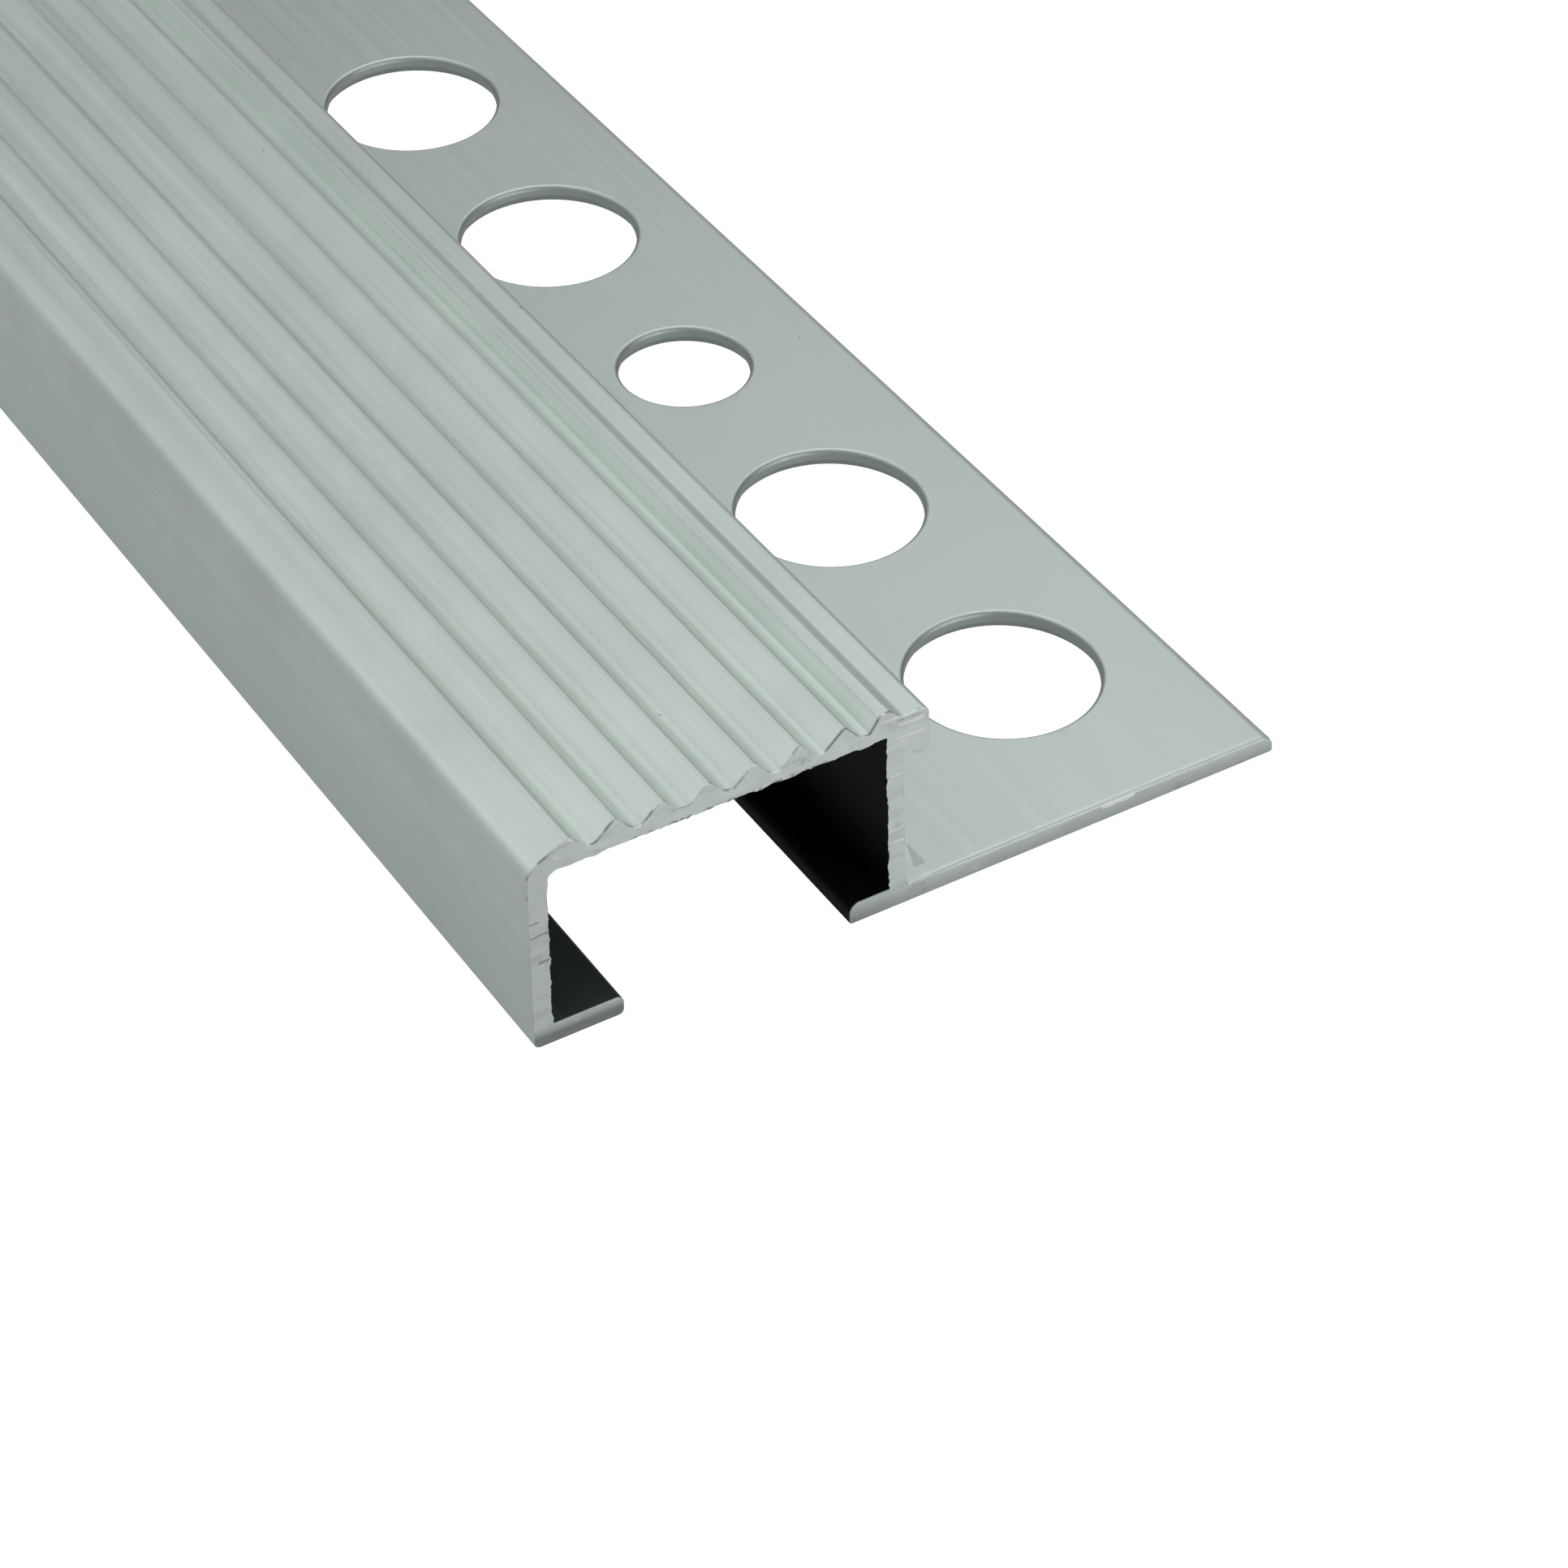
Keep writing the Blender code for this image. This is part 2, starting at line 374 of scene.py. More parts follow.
def hole_layout():
    """Distance from the near end and radius of each hole, as many as the length takes."""
    pair = [LARGE_HOLE_RADIUS, LARGE_HOLE_RADIUS]
    group = pair + [SMALL_HOLE_RADIUS] + pair
    holes = []
    place = END_MARGIN
    while place < LENGTH - END_MARGIN + HOLE_BRIDGE / 2:
        following = len(holes) + 1
        radius = group[len(holes) % len(group)]
        bridge = HOLE_BRIDGE if following % len(group) else GROUP_BRIDGE
        holes.append((place, radius))
        place += radius + bridge + group[following % len(group)]
    return holes


def punch_profile(radius):
    """Radius and height of the punch's rings: wider where it breaks out and where it rolls in."""
    roll_z = LEG_THICKNESS - PUNCH_ROLLOVER + PUNCH_LIFT
    rings = [
        (radius + PUNCH_BREAKOUT, PUNCH_BOTTOM_Z),
        (radius + PUNCH_BREAKOUT, 0.0),
        (radius, PUNCH_BREAKOUT_TOP_Z),
    ]
    for step in range(PUNCH_ARC_STEPS + 1):
        angle = math.pi / 2 * step / PUNCH_ARC_STEPS
        out = PUNCH_ROLLOVER * (1 - math.cos(angle))
        up = PUNCH_ROLLOVER * math.sin(angle)
        rings.append((radius + out, roll_z + up))
    rings.append((radius + PUNCH_ROLLOVER, LEG_THICKNESS + PUNCH_OVERRUN))
    return rings


def punch_object(holes):
    """All the punches as one cutter mesh."""
    tool = bmesh.new()
    for place, radius in holes:
        rings = []
        for ring_radius, height in punch_profile(radius):
            ring = []
            for side in range(HOLE_SIDES):
                angle = 2 * math.pi * side / HOLE_SIDES
                x = HOLE_LINE_X + ring_radius * math.cos(angle)
                y = place + ring_radius * math.sin(angle)
                ring.append(tool.verts.new(row_frame(x, y, height)))
            rings.append(ring)
        skin(tool, rings)
    cutter = bpy.data.objects.new("punches", finished_mesh("punches", tool))
    bpy.context.scene.collection.objects.link(cutter)
    return cutter


def make_profile():
    """The finished extrusion: rings, punched holes, smooth curves and sharp edges."""
    profile = bpy.data.objects.new("profile", extrusion_mesh())
    bpy.context.scene.collection.objects.link(profile)
    cutter = punch_object(hole_layout())
    cut = profile.modifiers.new("holes", "BOOLEAN")
    cut.operation = "DIFFERENCE"
    cut.solver = "EXACT"
    cut.object = cutter
    bpy.context.view_layer.update()
    evaluated = profile.evaluated_get(bpy.context.evaluated_depsgraph_get())
    finished = bpy.data.meshes.new_from_object(evaluated)
    profile.modifiers.clear()
    profile.data = finished
    bpy.data.objects.remove(cutter)
    finished.shade_smooth()
    finished.set_sharp_from_angle(angle=SHARP_ANGLE)
    weighted = profile.modifiers.new("weighted_normals", "WEIGHTED_NORMAL")
    weighted.keep_sharp = True
    return profile


# ---------------------------------------------------------------- material

# A Mix node has a pair of sockets for each data type; these are the colour ones
MIX_FIRST_COLOUR = 6
MIX_SECOND_COLOUR = 7
MIX_RESULT_COLOUR = 2

# Drawn and anodised surfaces
SATIN_COLOUR = (0.765, 0.845, 0.80, 1.0)
SATIN_DARK = (0.69, 0.765, 0.725, 1.0)
PIT_COLOUR = (0.26, 0.29, 0.27, 1.0)
# Painted shadow on the leg beside the web's foot
WEB_FOOT_SHADOW_COLOUR = (0.52, 0.58, 0.545, 1.0)
# Painted shade on the holes' rims and walls
PUNCHED_RIM_SHADE = (0.46, 0.52, 0.485, 1.0)
# Painted shade inside the channel: on its walls, and darkest on the web
CHANNEL_WALL_SHADE = (0.25, 0.285, 0.265, 1.0)
CHANNEL_WEB_SHADE = (0.022, 0.027, 0.024, 1.0)

# Sawn ends
SAWN_COLOUR = (0.81, 0.88, 0.86, 1.0)
SAWN_DARK = (0.725, 0.79, 0.77, 1.0)
# Painted shade for the sawn faces' foot and the front wall's end
SAWN_FOOT_SHADE = (0.36, 0.39, 0.38, 1.0)
SAWN_TEAR = (0.34, 0.375, 0.36, 1.0)
SAWN_BRIGHT = (0.98, 1.0, 0.99, 1.0)

# Noise patterns: features a millimetre, stretch of each axis, detail and roughness
DRAG_LINES = (7.0, (1.0, 0.008, 1.0), 3.0, 0.5)
BROAD_DRAG_LINES = (1.6, (1.0, 0.004, 1.0), 2.0, 0.5)
GRAIN = (9.0, (1.0, 1.0, 1.0), 2.0, 0.5)
CLOUDS = (0.12, (1.0, 1.0, 1.0), 3.0, 0.5)
PITS = (2.6, (1.0, 0.6, 1.0), 2.0, 0.5)
CUT_EDGE_PATCHES = (1.7, (1.0, 0.3, 1.0), 3.0, 0.5)
SAW_LINES = (2.2, (0.3, 0.3, 1.0), 4.0, 0.6)
TEARS = (0.9, (0.6, 0.1, 1.0), 5.0, 0.75)
SPECKS = (3.2, (1.0, 1.0, 1.0), 3.0, 0.5)

# The second pattern's share where two are blended, and the middle of a pattern's or a tone's range
BROAD_DRAG_SHARE = 0.5
CLOUD_SHARE = 0.4
GRAIN_SHARE = 0.3
MIDDLE = 0.5

# Ramps on the patterns: where each starts and finishes, and its value at those two places
TONE_SPREAD = (0.35, 0.65, 0.0, 1.0)
PIT_DEPTH = (0.775, 0.81, 0.0, 1.0)
CUT_EDGE_DARKNESS = (0.42, 0.66, 0.0, 1.0)
SPECK_DEPTH = (0.48, 0.58, 0.0, 0.8)
SAW_TONE = (0.3, 0.6, 0.0, 1.0)
DARK_TEARS = (0.58, 0.7, 0.0, 0.4)
BRIGHT_TEARS = (0.32, 0.42, 0.4, 0.0)
SATIN_ROUGHNESS = (0.3, 0.7, 0.52, 0.6)
SAWN_ROUGHNESS = (0.3, 0.7, 0.6, 0.75)

# Ramps on how far a face is turned, by its normal's length along one axis
TURNED_TO_END = (0.75, 0.9, 0.0, 1.0)
TURNED_FROM_FLAT = (0.7, 0.99, 1.0, 0.0)

# Ramps on the place across, up and in from the nearest end. Mix cuts a share over 1 down to 1, so
# LIP_TO_LEG carries the dark foot higher at the lip than at the leg
SAWN_DEPTH = (1.5, 2.0, 1.0, 0.0)
CUT_EDGE_REACH = (0.04, 0.2, 1.0, 0.0)
CUT_EDGE_HEIGHT = (9.0, 10.0, 0.1, 1.0)
ABOVE_LEG = (2.0, 10.0, 0.25, 1.0)
TOWARD_WEB = (5.0, 17.0, 0.0, 1.0)
# FOOT_HEIGHT, LIP_TO_LEG and WALL_END place painted shade on the sawn faces
FOOT_HEIGHT = (-0.2, 1.6, 1.0, 0.0)
LIP_TO_LEG = (3.0, 23.0, 2.8, 0.55)
WALL_END = (1.0, 4.0, 0.16, 0.0)
PUNCHED_HEIGHT = (1.2, 1.4, 1.0, 0.0)
CLEAR_OF_CUT = (3.0, 4.0, 0.0, 1.0)
UNDERSIDE_RAGS = (PLATE_UNDERSIDE_Z + 0.03, PLATE_UNDERSIDE_Z + 0.16, 1.0, 0.0)

# Stretches across the section: start, finish and how wide they fade outside
DARKEST_EDGE_RIB_X = 16.4
DARKEST_EDGE_RIB = (DARKEST_EDGE_RIB_X, DARKEST_EDGE_RIB_X + RIB_PITCH / 2, 0.3)
DARKEST_EDGE_RIB_EXTRA = 0.25
RAGGED_PLATE = (5.6, 16.0, 0.5)
HOLE_ROW_REACH = 6.0
HOLE_ROW = (HOLE_LINE_X - HOLE_ROW_REACH, HOLE_LINE_X + HOLE_ROW_REACH, 0.5)
CHANNEL_SHADE_X = (WALL_THICKNESS - 0.04, WEB_FOOT_FRONT_X + 0.03, 0.06)

# Heights of the channel's painted shade: its lower edge falls from the lip's level to the toe's tip
CHANNEL_SHADE_FLOOR = (10.0, 11.0, LIP_TOP_Z - 0.2, 0.05)
CHANNEL_SHADE_FLOOR_FADE = 0.1
CHANNEL_SHADE_ROOF_Z = PLATE_UNDERSIDE_Z + 0.04
CHANNEL_SHADE_ROOF_FADE = 0.12

# Scratches across the sawn ends: start and finish in x, height z and half height. The last bright
# one is a wider nick on the leg's cut face
DARK_SCRATCHES = (
    (0.1, 0.5, 8.2, 0.03),
    (0.0, 1.0, 7.3, 0.035),
    (0.5, 1.0, 5.6, 0.04),
    (20.2, 21.5, 11.75, 0.01),
)
BRIGHT_SCRATCHES = (
    (19.9, 20.6, 8.4, 0.04),
    (19.9, 20.7, 5.0, 0.035),
    (20.1, 20.7, 4.2, 0.03),
    (20.3, 21.7, 11.4, 0.05),
    (19.5, 20.4, 12.0, 0.03),
    (20.1, 21.6, 10.7, 0.03),
    (32.5, 34.4, 0.86, 0.1),
)
DARK_SCRATCH_SHARE = 0.8
BRIGHT_SCRATCH_SHARE = 0.85
SCRATCH_WOBBLE = 0.5
SCRATCH_SIDE_FADE = 0.04
SCRATCH_END_FADE = 0.1

# A painted shadow on the leg beside the web's foot: a triangle that points away from the near end
WEB_FOOT_SHADOW_X = 22.5
WEB_FOOT_SHADOW_START_Y = 0.95
WEB_FOOT_SHADOW_TIP_Y = 2.5
WEB_FOOT_SHADOW_SLOPE = 0.367
WEB_FOOT_SHADOW_X_FADE = 0.15
WEB_FOOT_SHADOW_Y_FADE = 0.1
WEB_FOOT_SHADOW_SLOPE_FADE = 0.05
WEB_FOOT_SHADOW_SHARE = 0.8

# The fine relief that the surface pattern gives
SAWN_RELIEF = 1.5
RELIEF_STRENGTH = 0.45
RELIEF_DEPTH = 0.02 * MM


class Nodes:
    """Short calls that add and join shader nodes."""

    def __init__(self, tree):
        self.tree = tree

    def add(self, kind, **settings):
        """A node of that kind."""
        node = self.tree.nodes.new(kind)
        for name, value in settings.items():
            setattr(node, name, value)
        return node

    def feed(self, socket, value):
        """Link a socket to another, or set its constant."""
        if isinstance(value, bpy.types.NodeSocket):
            self.tree.links.new(value, socket)
        else:
            socket.default_value = value

    def math(self, operation, first, second=0.0):
        """One operation on two values."""
        node = self.add("ShaderNodeMath", operation=operation)
        self.feed(node.inputs[0], first)
        self.feed(node.inputs[1], second)
        return node.outputs[0]

    def product(self, first, *others):
        """All the values multiplied together."""
        for other in others:
            first = self.math("MULTIPLY", first, other)
        return first

    def blend(self, first, second, share):
        """A number that goes from first to second as share goes from 0 to 1."""
        gap = self.math("SUBTRACT", second, first)
        return self.math("ADD", first, self.math("MULTIPLY", gap, share))

    def ramp(self, value, start, finish, low=0.0, high=1.0):
        """A smooth change from low to high as value goes from start to finish."""
        node = self.add("ShaderNodeMapRange", clamp=True, interpolation_type="SMOOTHSTEP")
        self.feed(node.inputs["Value"], value)
        self.feed(node.inputs["From Min"], start)
        self.feed(node.inputs["From Max"], finish)
        self.feed(node.inputs["To Min"], low)
        self.feed(node.inputs["To Max"], high)
        return node.outputs["Result"]

    def between(self, value, low, high, fade):
        """1 between low and high, falling to 0 over the fade's width outside them."""
        above = self.ramp(value, low - fade, low)
        below = self.ramp(value, high, high + fade, 1.0, 0.0)
        return self.product(above, below)

    def noise(self, place, pattern):
        """One of the noise patterns, in the object's own coordinates."""
        per_mm, stretch, detail, roughness = pattern
        mapping = self.add("ShaderNodeMapping")
        self.feed(mapping.inputs["Vector"], place.metres)
        mapping.inputs["Scale"].default_value = stretch
        node = self.add("ShaderNodeTexNoise")
        self.feed(node.inputs["Vector"], mapping.outputs["Vector"])
        node.inputs["Scale"].default_value = per_mm / MM
        node.inputs["Detail"].default_value = detail
        node.inputs["Roughness"].default_value = roughness
        return node.outputs["Fac"]

    def mix(self, share, first, second):
        """A colour between first and second."""
        node = self.add("ShaderNodeMix", data_type="RGBA")
        self.feed(node.inputs["Factor"], share)
        self.feed(node.inputs[MIX_FIRST_COLOUR], first)
        self.feed(node.inputs[MIX_SECOND_COLOUR], second)
        return node.outputs[MIX_RESULT_COLOUR]

    def split(self, vector):
        """A vector's parts, under the names X, Y and Z."""
        node = self.add("ShaderNodeSeparateXYZ")
        self.feed(node.inputs[0], vector)
        return node.outputs

    def turned(self, normal, axis):
        """How far a normal points along an axis, either way: 0 is not at all and 1 is straight."""
        parts = self.split(self.add("ShaderNodeNewGeometry").outputs[normal])
        return self.math("ABSOLUTE", parts[axis])


class Place:
    """Where the shaded point is, in metres and in the section's millimetres, and how far from an end."""

    def __init__(self, nodes):
        self.metres = nodes.add("ShaderNodeTexCoord").outputs["Object"]
        parts = nodes.split(self.metres)
        self.x = nodes.product(nodes.math("SUBTRACT", parts["X"], low_corner.x), 1 / MM)
        self.y = nodes.product(nodes.math("SUBTRACT", parts["Y"], low_corner.y), 1 / MM)
        self.z = nodes.product(nodes.math("SUBTRACT", parts["Z"], low_corner.z), 1 / MM)
        self.from_end = nodes.math("MINIMUM", self.y, nodes.math("SUBTRACT", LENGTH, self.y))


def channel_shade_share(nodes, place):
    """1 on the walls of the open channel and the toe's tip, where shade is painted dark into the colour.
    """
    floor_z = nodes.ramp(place.x, *CHANNEL_SHADE_FLOOR)
    above_floor = nodes.ramp(place.z, floor_z, nodes.math("ADD", floor_z, CHANNEL_SHADE_FLOOR_FADE))
    below_roof = nodes.ramp(place.z, CHANNEL_SHADE_ROOF_Z, CHANNEL_SHADE_ROOF_Z + CHANNEL_SHADE_ROOF_FADE, 1.0, 0.0)
    return nodes.product(nodes.between(place.x, *CHANNEL_SHADE_X), above_floor, below_roof)


def darkened_cut_edge(nodes, place):
    """Patchy darkening in the last tenths of a millimetre before each cut, strongest on one rib."""
    extra = nodes.product(nodes.between(place.x, *DARKEST_EDGE_RIB), DARKEST_EDGE_RIB_EXTRA)
    patches = nodes.math("ADD", nodes.noise(place, CUT_EDGE_PATCHES), extra)
    near_cut = nodes.ramp(place.from_end, *CUT_EDGE_REACH)
    on_tread = nodes.ramp(place.z, *CUT_EDGE_HEIGHT)
    return nodes.product(near_cut, nodes.ramp(patches, *CUT_EDGE_DARKNESS), on_tread)


def punched_rim_shade_share(nodes, place):
    """1 on the holes' walls and rims, where shade is painted darker, told from the leg's flat faces by
    where they face.
    """
    turned = nodes.ramp(nodes.turned("Normal", "Z"), *TURNED_FROM_FLAT)
    low = nodes.ramp(place.z, *PUNCHED_HEIGHT)
    across = nodes.between(place.x, *HOLE_ROW)
    off_ends = nodes.ramp(place.from_end, *CLEAR_OF_CUT)
    return nodes.product(turned, low, across, off_ends)


def ragged_underside(nodes, place):
    """Dark specks on the sawn face along the tread plate's lower edge."""
    near_edge = nodes.ramp(place.z, *UNDERSIDE_RAGS)
    along = nodes.between(place.x, *RAGGED_PLATE)
    specks = nodes.ramp(nodes.noise(place, SPECKS), *SPECK_DEPTH)
    return nodes.product(near_edge, along, specks)


def web_foot_shadow(nodes, place):
    """A painted shadow: a small dark triangle on the leg beside the web's foot, near one end."""
    slope_x = WEB_FOOT_SHADOW_X - WEB_FOOT_SHADOW_SLOPE * WEB_FOOT_SHADOW_TIP_Y
    slant = nodes.math("SUBTRACT", place.x, nodes.product(place.y, WEB_FOOT_SHADOW_SLOPE))
    past_slope = nodes.ramp(slant, slope_x - WEB_FOOT_SHADOW_SLOPE_FADE, slope_x + WEB_FOOT_SHADOW_SLOPE_FADE)
    before_side = nodes.ramp(place.x, WEB_FOOT_SHADOW_X, WEB_FOOT_SHADOW_X + WEB_FOOT_SHADOW_X_FADE, 1.0, 0.0)
    along = nodes.between(place.y, WEB_FOOT_SHADOW_START_Y, WEB_FOOT_SHADOW_TIP_Y, WEB_FOOT_SHADOW_Y_FADE)
    return nodes.product(past_slope, before_side, along, WEB_FOOT_SHADOW_SHARE)


def scratches(nodes, place, saw, marks, share):
    """Short lines across the sawn face that waver with the saw lines."""
    wobble = nodes.product(nodes.math("SUBTRACT", saw, MIDDLE), SCRATCH_WOBBLE)
    level = nodes.math("ADD", place.z, wobble)
    total = 0.0
    for start, finish, height, half in marks:
        line = nodes.between(level, height - half, height + half, SCRATCH_SIDE_FADE)
        reach = nodes.between(place.x, start, finish, SCRATCH_END_FADE)
        total = nodes.math("MAXIMUM", total, nodes.product(line, reach))
    return nodes.product(total, share)


def satin_colour(nodes, place, streak, above_leg):
    """The drawn surfaces, with pits, darkened cut edges, and painted shade in the channel, at the holes
    and by the web.
    """
    tone = nodes.blend(streak, nodes.noise(place, CLOUDS), CLOUD_SHARE)
    lightness = nodes.blend(MIDDLE, nodes.ramp(tone, *TONE_SPREAD), above_leg)
    colour = nodes.mix(lightness, SATIN_DARK, SATIN_COLOUR)
    colour = nodes.mix(nodes.ramp(nodes.noise(place, PITS), *PIT_DEPTH), colour, PIT_COLOUR)
    colour = nodes.mix(darkened_cut_edge(nodes, place), colour, PIT_COLOUR)
    # Painted shadow beside the web's foot
    colour = nodes.mix(web_foot_shadow(nodes, place), colour, WEB_FOOT_SHADOW_COLOUR)
    # Painted shade inside the channel, darkening towards the web
    channel_shade_colour = nodes.mix(nodes.ramp(place.x, *TOWARD_WEB), CHANNEL_WALL_SHADE, CHANNEL_WEB_SHADE)
    colour = nodes.mix(channel_shade_share(nodes, place), colour, channel_shade_colour)
    # Painted shade on the holes' rims and walls
    return nodes.mix(punched_rim_shade_share(nodes, place), colour, PUNCHED_RIM_SHADE)


def sawn_colour(nodes, place, saw):
    """The sawn faces, with their tears and scratches, and painted shade at the foot and on the wall's
    end.
    """
    colour = nodes.mix(nodes.ramp(saw, *SAW_TONE), SAWN_DARK, SAWN_COLOUR)
    # Painted shade: darker towards the sawn faces' foot, most at the lip, and on the front wall's end
    foot_shade = nodes.product(nodes.ramp(place.z, *FOOT_HEIGHT), nodes.ramp(place.x, *LIP_TO_LEG))
    colour = nodes.mix(foot_shade, colour, SAWN_FOOT_SHADE)
    colour = nodes.mix(nodes.ramp(place.x, *WALL_END), colour, SAWN_FOOT_SHADE)
    tears = nodes.noise(place, TEARS)
    colour = nodes.mix(nodes.ramp(tears, *DARK_TEARS), colour, SAWN_TEAR)
    colour = nodes.mix(nodes.ramp(tears, *BRIGHT_TEARS), colour, SAWN_BRIGHT)
    dark = scratches(nodes, place, saw, DARK_SCRATCHES, DARK_SCRATCH_SHARE)
    colour = nodes.mix(dark, colour, SAWN_TEAR)
    colour = nodes.mix(ragged_underside(nodes, place), colour, PIT_COLOUR)
    bright = scratches(nodes, place, saw, BRIGHT_SCRATCHES, BRIGHT_SCRATCH_SHARE)
    return nodes.mix(bright, colour, SAWN_BRIGHT)


def satin_aluminium():
    """Satin anodised aluminium with drag lines along the length and sawn end faces."""
    material = bpy.data.materials.new("satin_aluminium")
    material.use_nodes = True
    nodes = Nodes(material.node_tree)
    shader = material.node_tree.nodes["Principled BSDF"]
    shader.inputs["Metallic"].default_value = 1.0
    place = Place(nodes)
    faces_end = nodes.ramp(nodes.turned("True Normal", "Y"), *TURNED_TO_END)
    sawn = nodes.product(faces_end, nodes.ramp(place.from_end, *SAWN_DEPTH))
    above_leg = nodes.ramp(place.z, *ABOVE_LEG)
    broad_drag = nodes.noise(place, BROAD_DRAG_LINES)
    streak = nodes.blend(nodes.noise(place, DRAG_LINES), broad_drag, BROAD_DRAG_SHARE)
    saw = nodes.noise(place, SAW_LINES)

    satin = satin_colour(nodes, place, streak, above_leg)
    nodes.feed(shader.inputs["Base Color"], nodes.mix(sawn, satin, sawn_colour(nodes, place, saw)))

    satin_roughness = nodes.ramp(streak, *SATIN_ROUGHNESS)
    sawn_roughness = nodes.ramp(saw, *SAWN_ROUGHNESS)
    nodes.feed(shader.inputs["Roughness"], nodes.blend(satin_roughness, sawn_roughness, sawn))

    texture = nodes.blend(streak, nodes.noise(place, GRAIN), GRAIN_SHARE)
    satin_relief = nodes.product(texture, above_leg)
    relief = nodes.add("ShaderNodeBump")
    relief.inputs["Strength"].default_value = RELIEF_STRENGTH
    relief.inputs["Distance"].default_value = RELIEF_DEPTH
    height = nodes.blend(satin_relief, nodes.product(saw, SAWN_RELIEF), sawn)
    nodes.feed(relief.inputs["Height"], height)
    nodes.feed(shader.inputs["Normal"], relief.outputs["Normal"])
    return material


# ---------------------------------------------------------------- studio

# The floor: the metal mirrors a mid grey card, and the camera sees a brighter, glowing one
FLOOR_SIZE = 6.0
FLOOR_GAP = 0.0001
FLOOR_CARD = 0.4
FLOOR_CARD_GLOW = 0.168
FLOOR_PALE = 0.3
FLOOR_GLOW = 1.0
WHITE = (1.0, 1.0, 1.0, 1.0)

# The surround: ramps on the direction's Z, brighter overhead, and on its Y, dimmer in front
SKY_OVERHEAD = (0.25, 0.85, 0.145, 0.235)
SKY_BEHIND = (-0.8, 0.1, 0.45, 1.0)

# Soft lights: name, place from the near end's middle, size and power
SOFT_LIGHTS = (
    ("back_softbox", (0.13, 0.12, 0.3), 0.26, 0.17),
    ("left_softbox", (-0.25, 0.1, 0.25), 0.38, 0.47),
    ("front_softbox", (0.15, -0.4, 0.1), 0.32, 1.0),
    ("near_softbox", (0.06, 0.05, 0.2), 0.2, 0.06),
    ("low_softbox", (-0.14, 0.12, 0.12), 0.2, 0.01),
)
LIGHT_TARGET = (0.0, 0.02, 0.0)

# The camera: lens and sensor in millimetres, its aim on the near end's section
CAMERA_LENS = 110.96
SENSOR_WIDTH = 36.0
CAMERA_AZIMUTH = math.radians(-31.47)
CAMERA_ELEVATION = math.radians(40.13)
CAMERA_ROLL = math.radians(-0.10)
CAMERA_DISTANCE = 227.5 * MM
CAMERA_AIM_X = 13.87
CAMERA_AIM_Z = 10.66
CLIP_START = 0.01
CLIP_END = 20.0


def matte_finish(shader, shade, glow):
    """Set a shader to an even grey that also glows."""
    shader.inputs["Base Color"].default_value = (shade, shade, shade, 1.0)
    shader.inputs["Roughness"].default_value = 1.0
    shader.inputs["Emission Color"].default_value = WHITE
    shader.inputs["Emission Strength"].default_value = glow


def pale_floor():
    """The floor's material, one finish for the camera and another for reflections."""
    material = bpy.data.materials.new("pale_floor")
    material.use_nodes = True
    nodes = Nodes(material.node_tree)
    card = material.node_tree.nodes["Principled BSDF"]
    matte_finish(card, FLOOR_CARD, FLOOR_CARD_GLOW)
    pale = nodes.add("ShaderNodeBsdfPrincipled")
    matte_finish(pale, FLOOR_PALE, FLOOR_GLOW)
    blend = nodes.add("ShaderNodeMixShader")
    nodes.feed(blend.inputs[0], nodes.add("ShaderNodeLightPath").outputs["Is Camera Ray"])
    nodes.feed(blend.inputs[1], card.outputs[0])
    nodes.feed(blend.inputs[2], pale.outputs[0])
    nodes.feed(material.node_tree.nodes["Material Output"].inputs["Surface"], blend.outputs[0])
    return material


def studio_floor():
    """A wide pale floor just under the leg."""
    bpy.ops.mesh.primitive_plane_add(size=FLOOR_SIZE, location=(0.0, 0.0, low_corner.z - FLOOR_GAP))
    floor = bpy.context.object
    floor.name = "studio_floor"
    floor.data.materials.append(pale_floor())


def from_near_end(place):
    """A studio place measured from the near end's middle, in the scene's coordinates."""
    return Vector(place) + Vector((0.0, low_corner.y, 0.0))


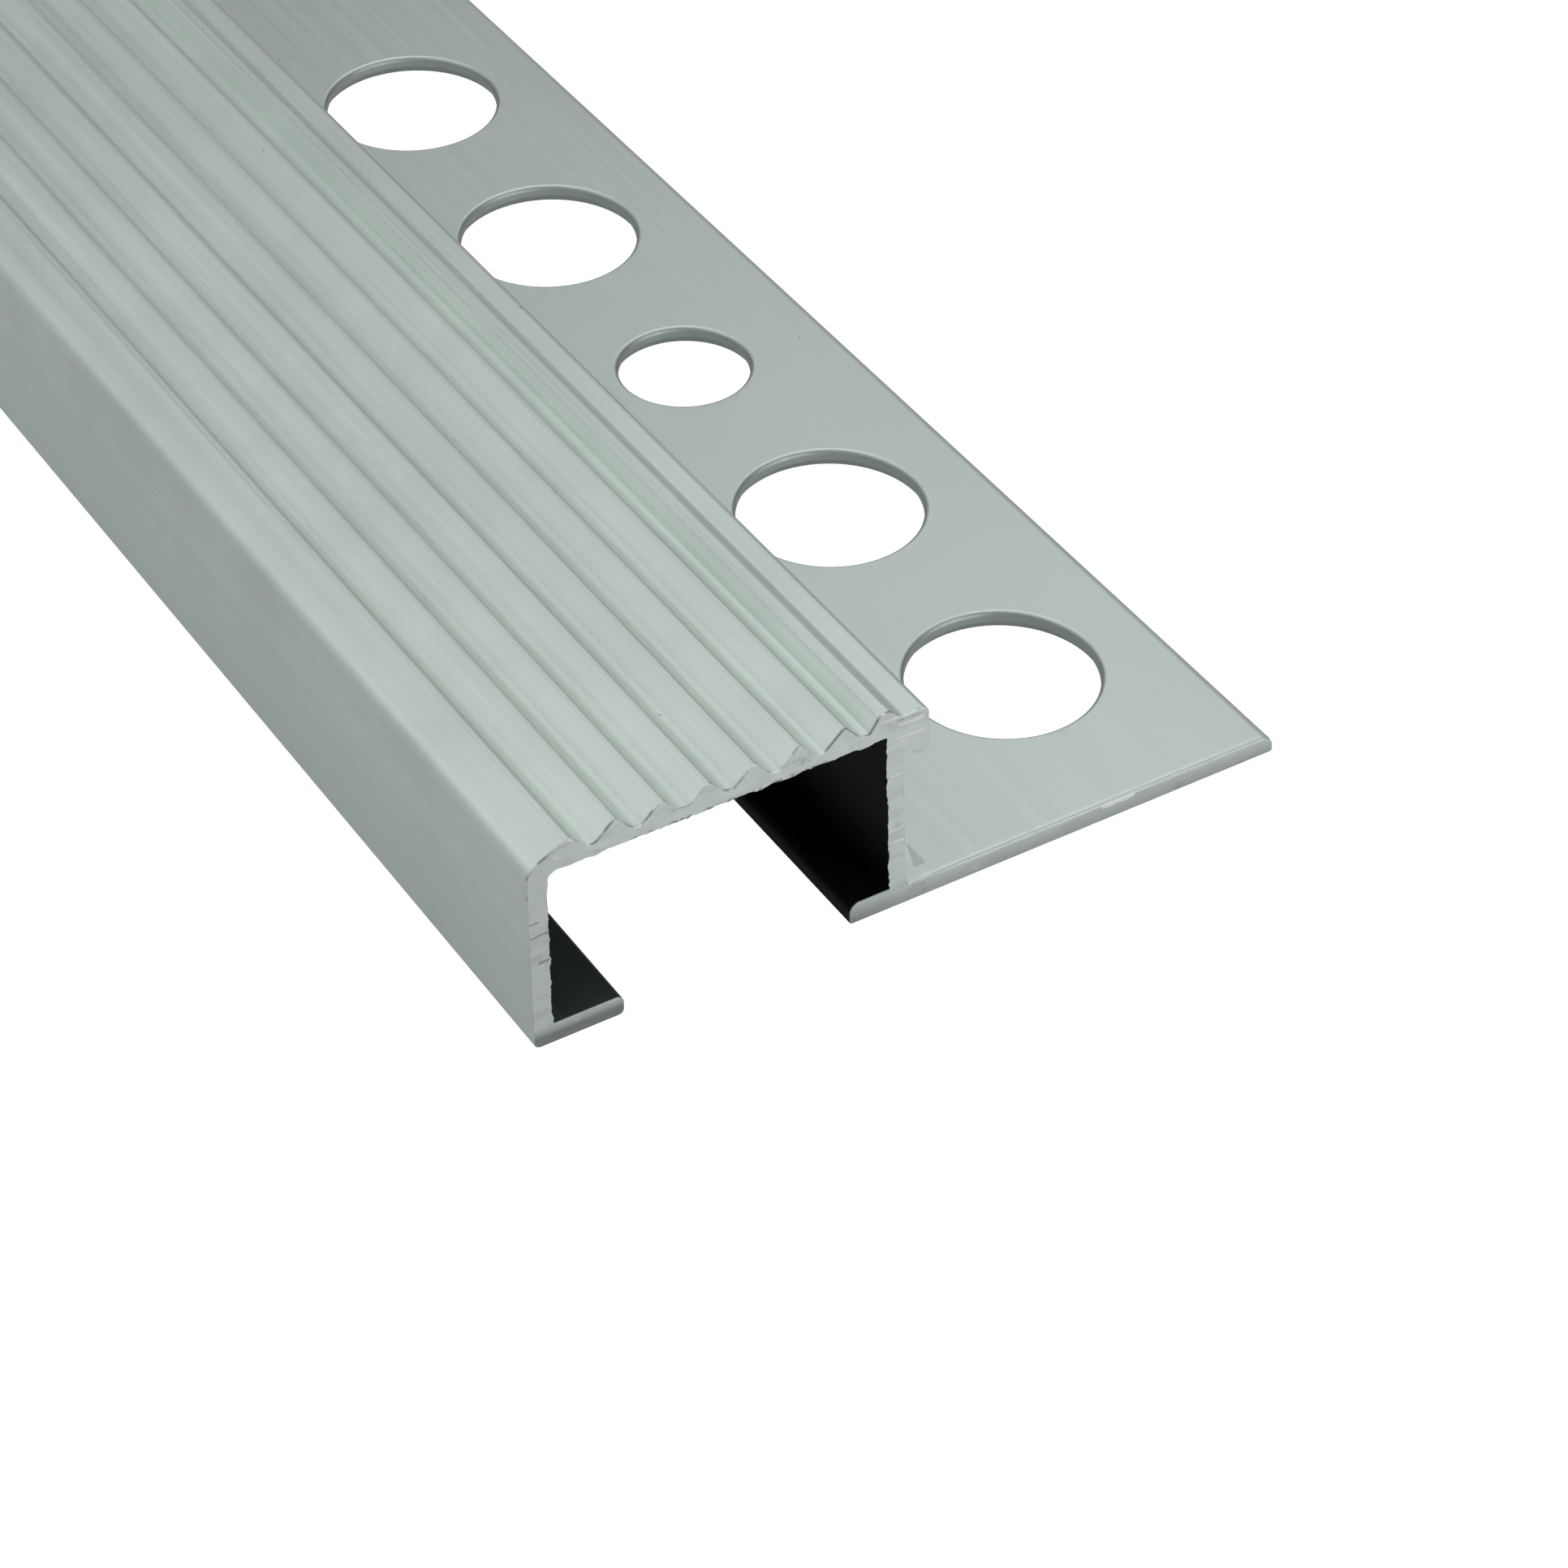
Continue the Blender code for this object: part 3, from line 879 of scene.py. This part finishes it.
def soft_light(name, place, size, power):
    """A square area light that faces the near end."""
    data = bpy.data.lights.new(name, "AREA")
    data.shape = "SQUARE"
    data.size = size
    data.energy = power
    light = bpy.data.objects.new(name, data)
    light.location = from_near_end(place)
    light.visible_camera = False
    toward_target = from_near_end(LIGHT_TARGET) - light.location
    light.rotation_euler = toward_target.to_track_quat("-Z", "Y").to_euler()
    bpy.context.scene.collection.objects.link(light)


def studio_light():
    """A pale surround, brighter overhead and behind, with broad soft lights round the near end."""
    world = bpy.data.worlds.new("studio")
    world.use_nodes = True
    nodes = Nodes(world.node_tree)
    background = world.node_tree.nodes["Background"]
    background.inputs["Color"].default_value = WHITE
    direction = nodes.split(nodes.add("ShaderNodeTexCoord").outputs["Generated"])
    overhead = nodes.ramp(direction["Z"], *SKY_OVERHEAD)
    behind = nodes.ramp(direction["Y"], *SKY_BEHIND)
    nodes.feed(background.inputs["Strength"], nodes.product(overhead, behind))
    bpy.context.scene.world = world
    for name, place, size, power in SOFT_LIGHTS:
        soft_light(name, place, size, power)


def studio_camera():
    """The camera above and left of the near end, looking down along the profile."""
    level = math.cos(CAMERA_ELEVATION)
    away = Vector((
        math.sin(CAMERA_AZIMUTH) * level,
        -math.cos(CAMERA_AZIMUTH) * level,
        math.sin(CAMERA_ELEVATION),
    ))
    data = bpy.data.cameras.new("camera")
    data.sensor_width = SENSOR_WIDTH
    data.lens = CAMERA_LENS
    data.clip_start = CLIP_START
    data.clip_end = CLIP_END
    camera = bpy.data.objects.new("camera", data)
    facing = (-away).to_track_quat("-Z", "Y").to_matrix()
    camera.rotation_euler = (facing @ Matrix.Rotation(CAMERA_ROLL, 3, "Z")).to_euler()
    camera.location = row_frame(CAMERA_AIM_X, 0.0, CAMERA_AIM_Z) + away * CAMERA_DISTANCE
    bpy.context.scene.collection.objects.link(camera)
    bpy.context.scene.camera = camera


# ---------------------------------------------------------------- the whole scene

bpy.context.scene.view_settings.view_transform = "Standard"

profile = make_profile()
profile.data.materials.clear()
profile.data.materials.append(satin_aluminium())
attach(profile, "root")
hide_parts(NODE)

studio_floor()
studio_light()
studio_camera()
